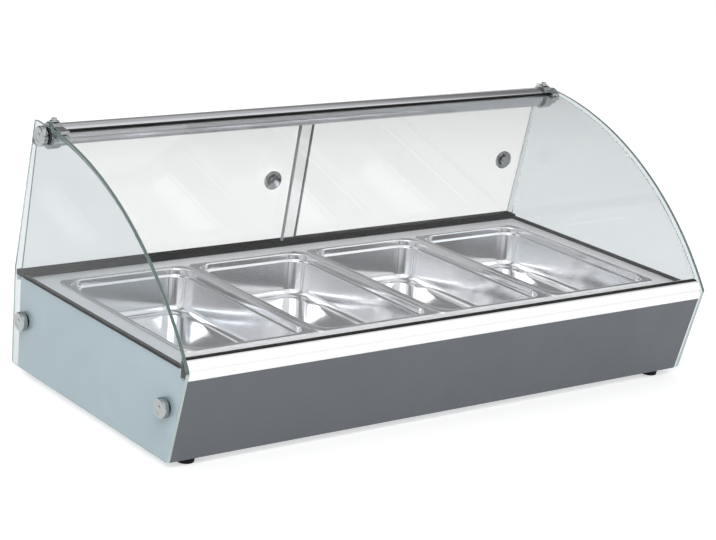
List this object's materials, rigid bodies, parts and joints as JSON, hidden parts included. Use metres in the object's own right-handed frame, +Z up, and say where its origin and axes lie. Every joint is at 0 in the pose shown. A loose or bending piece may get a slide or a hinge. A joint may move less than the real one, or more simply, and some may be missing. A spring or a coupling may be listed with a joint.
{
  "type": "heated display case",
  "caption": "Countertop heated display case with curved lift-up front glass, sliding rear glass doors and a row of food pans over a heated well.",
  "frame": {"origin": "centre of the footprint, on the surface that the feet stand on", "axes": "+X along the case, -Y towards the customer (curved glass), +Y towards the server (doors and controls), +Z up"},
  "size_m": [1.468, 0.72, 0.603],
  "materials": {
    "clear_glass": "clear, toughened",
    "polished_steel": "polished stainless steel",
    "brushed_steel": "brushed stainless steel",
    "white_paint": "pale satin paint",
    "grey_paint": "satin grey paint",
    "aluminium": "satin anodised",
    "chrome": "polished",
    "zinc_steel": "zinc plated",
    "black_plastic": "matt black",
    "rubber": "matt black",
    "red_switch": "gloss red",
    "lamp_lens": "clear amber",
    "heater_steel": "heat-dulled",
    "copper": "bare copper",
    "phenolic": "moulded phenolic",
    "mineral_wool": "mineral wool slab"
  },
  "bodies": {
    "case": {"base_tray": "brushed_steel", "front_panel": "grey_paint", "rear_panel": "brushed_steel", "end_panel_left": "white_paint", "end_panel_right": "white_paint", "deck": "brushed_steel", "well_liner": "brushed_steel", "well_insulation": "mineral_wool", "pan_support_bar_1": "polished_steel", "pan_support_bar_2": "polished_steel", "pan_support_bar_3": "polished_steel", "front_rail": "polished_steel", "front_rail_gasket": "rubber", "deck_side_seal_left": "rubber", "deck_side_seal_right": "rubber", "end_glass_left": "clear_glass", "end_glass_right": "clear_glass", "glass_fixing_caps": "chrome", "glass_fixing_studs": "zinc_steel", "glass_fixing_nuts": "zinc_steel", "glass_washers": "rubber", "top_tube": "aluminium", "tube_end_plugs": "aluminium", "top_track_hanger": "aluminium", "top_door_track": "aluminium", "bottom_door_track": "black_plastic", "door_stops": "rubber", "feet": "rubber", "foot_screws": "zinc_steel", "thermostat_body": "phenolic", "thermostat_bulb": "copper", "power_switch_housing": "black_plastic", "pilot_lamp_body": "black_plastic", "pilot_lamp_lens": "lamp_lens", "cable_gland": "black_plastic", "gland_nut": "black_plastic", "terminal_block": "phenolic", "heating_element_left": "heater_steel", "heating_element_right": "heater_steel", "element_brackets": "brushed_steel", "panel_screws": "zinc_steel"},
    "front_glass_cover": {"front_glass": "clear_glass", "front_glass_top_seal": "rubber", "hinge_collar_left": "chrome", "hinge_collar_right": "chrome", "collar_screws": "chrome"},
    "left_door": {"door_left": "clear_glass", "door_left_edge_strip": "rubber", "door_left_knob": "chrome"},
    "right_door": {"door_right": "clear_glass", "door_right_edge_strip": "rubber", "door_right_knob": "chrome"},
    "dial": {"thermostat_knob": "black_plastic", "thermostat_shaft": "zinc_steel"},
    "rocker": {"power_rocker": "red_switch"},
    "pan_1": {"pan_1": "polished_steel"},
    "pan_2": {"pan_2": "polished_steel"},
    "pan_3": {"pan_3": "polished_steel"},
    "pan_4": {"pan_4": "polished_steel"}
  },
  "joints": [
    {"name": "front_glass_hinge", "type": "hinge", "parent": "case", "child": "front_glass_cover", "pos_m": [0, 0.248, 0.565], "axis": [-1, 0, 0], "range_deg": [0, 60]},
    {"name": "left_door_slide", "type": "slide", "parent": "case", "child": "left_door", "axis": [1, 0, 0], "range_m": [0, 0.67]},
    {"name": "right_door_slide", "type": "slide", "parent": "case", "child": "right_door", "axis": [-1, 0, 0], "range_m": [0, 0.67]},
    {"name": "dial_turn", "type": "hinge", "parent": "case", "child": "dial", "pos_m": [-0.5, 0.34, 0.15], "axis": [0, -1, 0], "range_deg": [0, 270]},
    {"name": "rocker_tilt", "type": "hinge", "parent": "case", "child": "rocker", "pos_m": [-0.435, 0.337, 0.15], "axis": [1, 0, 0], "range_deg": [0, 16]},
    {"name": "pan_1_lift", "type": "slide", "parent": "case", "child": "pan_1", "axis": [0, 0, 1], "range_m": [0, 0.1]},
    {"name": "pan_2_lift", "type": "slide", "parent": "case", "child": "pan_2", "axis": [0, 0, 1], "range_m": [0, 0.1]},
    {"name": "pan_3_lift", "type": "slide", "parent": "case", "child": "pan_3", "axis": [0, 0, 1], "range_m": [0, 0.1]},
    {"name": "pan_4_lift", "type": "slide", "parent": "case", "child": "pan_4", "axis": [0, 0, 1], "range_m": [0, 0.1]}
  ]
}
